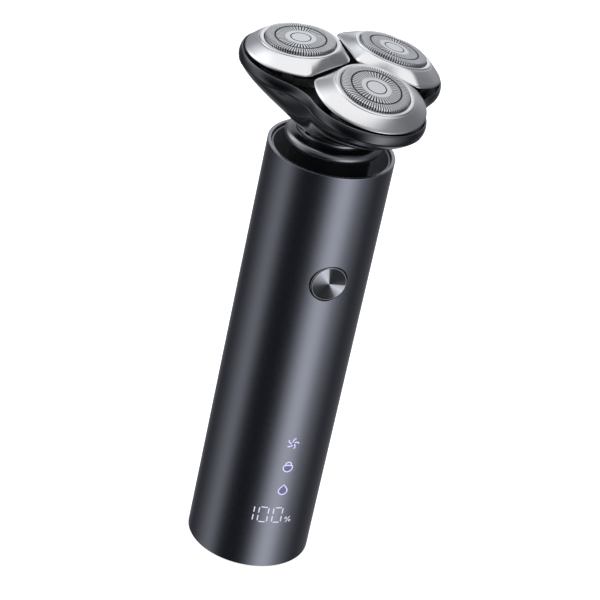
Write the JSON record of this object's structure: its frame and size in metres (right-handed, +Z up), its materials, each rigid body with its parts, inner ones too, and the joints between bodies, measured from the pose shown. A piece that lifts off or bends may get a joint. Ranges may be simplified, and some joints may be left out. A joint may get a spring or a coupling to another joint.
{
  "type": "rotary electric shaver",
  "caption": "Cordless rotary shaver: round dark metal handle with power button and lit digits, recessed neck, floating black head carrying silver-ringed slotted cutters.",
  "frame": {"origin": "centre of the handle's flat base face", "axes": "+Z up the handle to the head; -Y is the front, with the power button and the display"},
  "size_m": [0.0605, 0.0572, 0.1651],
  "materials": {
    "tube_metal": "dark graphite anodised, satin",
    "button_metal": "spun, fine concentric lines",
    "black_plastic": "matt black",
    "grey_plastic": "matt grey",
    "white_plastic": "natural acetal",
    "blue_plastic": "matt blue",
    "red_plastic": "matt red",
    "gloss_black": "piano black",
    "gloss_grey": "dark grey, glossy",
    "satin_silver": "satin silver",
    "cutter_steel": "brushed, slotted",
    "steel": "plain",
    "nickel": "nickel strip",
    "bronze": "sintered",
    "motor_copper": "wound copper",
    "cell_sleeve": "shrink sleeve",
    "board": "solder mask",
    "seal_rubber": "matt",
    "lit_glyph": "lit pale lavender"
  },
  "bodies": {
    "handle": {"body_tube": "tube_metal", "base_cap": "black_plastic", "base_seal": "seal_rubber", "base_screws": "steel", "charge_port_shell": "steel", "charge_port_tongue": "black_plastic", "chassis": "grey_plastic", "battery": "cell_sleeve", "battery_contacts": "nickel", "circuit_board": "board", "display_module": "black_plastic", "display_glyphs": "lit_glyph", "button_guide": "black_plastic", "switch_body": "black_plastic", "motor_can": "steel", "motor_mount": "steel", "motor_screws": "steel", "recess_cup": "gloss_grey", "neck_column": "gloss_black", "neck_shoulder": "gloss_black", "shaft_bush": "bronze", "shaft_seal": "seal_rubber"},
    "button": {"power_button": "button_metal", "switch_plunger": "red_plastic"},
    "drive": {"motor_rotor": "motor_copper", "drive_coupler": "white_plastic"},
    "collar": {"head_collar": "gloss_black"},
    "gimbal": {"gimbal_ring": "steel", "gimbal_pins": "steel"},
    "head": {"head_bowl": "gloss_black", "gear_plate": "white_plastic", "gear_axles": "steel", "gear_cover": "white_plastic", "gear_screws": "steel"},
    "centre_drive": {"centre_gear": "white_plastic", "centre_spindle": "steel"},
    "frame": {"cutter_frame": "gloss_black"},
    "gear_front": {"cutter_gear_front": "white_plastic", "drive_post_front": "blue_plastic", "post_spring_front": "steel"},
    "gear_right": {"cutter_gear_right": "white_plastic", "drive_post_right": "blue_plastic", "post_spring_right": "steel"},
    "gear_left": {"cutter_gear_left": "white_plastic", "drive_post_left": "blue_plastic", "post_spring_left": "steel"},
    "unit_front": {"unit_cover_front": "satin_silver", "unit_base_front": "black_plastic"},
    "unit_right": {"unit_cover_right": "satin_silver", "unit_base_right": "black_plastic"},
    "unit_left": {"unit_cover_left": "satin_silver", "unit_base_left": "black_plastic"},
    "cap_front": {"cutter_cap_front": "cutter_steel"},
    "cap_right": {"cutter_cap_right": "cutter_steel"},
    "cap_left": {"cutter_cap_left": "cutter_steel"},
    "cutter_front": {"inner_cutter_front": "cutter_steel"},
    "cutter_right": {"inner_cutter_right": "cutter_steel"},
    "cutter_left": {"inner_cutter_left": "cutter_steel"}
  },
  "joints": [
    {"name": "button_press", "type": "slide", "parent": "handle", "child": "button", "axis": [0, 1, 0], "range_m": [0, 0.0005], "stiffness_N_per_m": 2000, "springref_m": -0.0004},
    {"name": "drive_spin", "type": "hinge", "parent": "handle", "child": "drive", "pos_m": [0, 0, 0.11], "axis": [0, 0, 1], "continuous": true},
    {"name": "head_lift", "type": "slide", "parent": "handle", "child": "collar", "axis": [0, 0, 1], "range_m": [0, 0.03]},
    {"name": "head_roll", "type": "hinge", "parent": "collar", "child": "gimbal", "pos_m": [0, 0, 0.1452], "axis": [1, 0, 0], "range_deg": [-7, 1], "stiffness_Nm_per_rad": 0.5},
    {"name": "head_pitch", "type": "hinge", "parent": "gimbal", "child": "head", "pos_m": [0, 0, 0.1452], "axis": [0, 0.9986, 0.0523], "range_deg": [-8, 0.7], "stiffness_Nm_per_rad": 0.5},
    {"name": "centre_gear_spin", "type": "hinge", "parent": "head", "child": "centre_drive", "pos_m": [0.00036, -0.00025, 0.14998], "axis": [0.0741, -0.0522, 0.9959], "continuous": true},
    {"name": "frame_lift", "type": "slide", "parent": "head", "child": "frame", "axis": [0.0741, -0.0522, 0.9959], "range_m": [0, 0.02]},
    {"name": "gear_spin_front", "type": "hinge", "parent": "head", "child": "gear_front", "pos_m": [0.00044, -0.01629, 0.15034], "axis": [0.0741, -0.0522, 0.9959], "continuous": true},
    {"name": "gear_spin_right", "type": "hinge", "parent": "head", "child": "gear_right", "pos_m": [0.01426, 0.00773, 0.15057], "axis": [0.0741, -0.0522, 0.9959], "continuous": true},
    {"name": "gear_spin_left", "type": "hinge", "parent": "head", "child": "gear_left", "pos_m": [-0.01337, 0.00762, 0.15262], "axis": [0.0741, -0.0522, 0.9959], "continuous": true},
    {"name": "unit_tilt_front", "type": "hinge", "parent": "frame", "child": "unit_front", "pos_m": [0.00088, -0.01643, 0.15618], "axis": [0.9973, 0.0039, -0.074], "range_deg": [-4, 4], "stiffness_Nm_per_rad": 0.05},
    {"name": "unit_tilt_right", "type": "hinge", "parent": "frame", "child": "unit_right", "pos_m": [0.01456, 0.00734, 0.15641], "axis": [-0.4986, 0.8629, 0.0823], "range_deg": [-4, 4], "stiffness_Nm_per_rad": 0.05},
    {"name": "unit_tilt_left", "type": "hinge", "parent": "frame", "child": "unit_left", "pos_m": [-0.0128, 0.00724, 0.15844], "axis": [-0.4986, -0.8668, -0.0083], "range_deg": [-4, 4], "stiffness_Nm_per_rad": 0.05},
    {"name": "cap_press_front", "type": "slide", "parent": "unit_front", "child": "cap_front", "axis": [0.0734, -0.1907, 0.9789], "range_m": [-0.0008, 0], "stiffness_N_per_m": 800, "springref_m": 0.0004},
    {"name": "cap_press_right", "type": "slide", "parent": "unit_right", "child": "cap_right", "axis": [0.1936, 0.0183, 0.9809], "range_m": [-0.0008, 0], "stiffness_N_per_m": 800, "springref_m": 0.0004},
    {"name": "cap_press_left", "type": "slide", "parent": "unit_left", "child": "cap_left", "axis": [-0.0468, 0.0173, 0.9988], "range_m": [-0.0008, 0], "stiffness_N_per_m": 800, "springref_m": 0.0004},
    {"name": "cutter_spin_front", "type": "hinge", "parent": "cap_front", "child": "cutter_front", "pos_m": [0.00133, -0.01762, 0.16225], "axis": [0.0734, -0.1907, 0.9789], "continuous": true},
    {"name": "cutter_spin_right", "type": "hinge", "parent": "cap_right", "child": "cutter_right", "pos_m": [0.01576, 0.00746, 0.16249], "axis": [0.1936, 0.0183, 0.9809], "continuous": true},
    {"name": "cutter_spin_left", "type": "hinge", "parent": "cap_left", "child": "cutter_left", "pos_m": [-0.01309, 0.00734, 0.16463], "axis": [-0.0468, 0.0173, 0.9988], "continuous": true}
  ],
  "couplings": [
    {"joint": "centre_gear_spin", "follows": "drive_spin", "ratio": 1},
    {"joint": "gear_spin_front", "follows": "drive_spin", "ratio": -0.81818},
    {"joint": "gear_spin_right", "follows": "drive_spin", "ratio": -0.81818},
    {"joint": "gear_spin_left", "follows": "drive_spin", "ratio": -0.81818},
    {"joint": "cutter_spin_front", "follows": "drive_spin", "ratio": -0.81818},
    {"joint": "cutter_spin_right", "follows": "drive_spin", "ratio": -0.81818},
    {"joint": "cutter_spin_left", "follows": "drive_spin", "ratio": -0.81818}
  ]
}
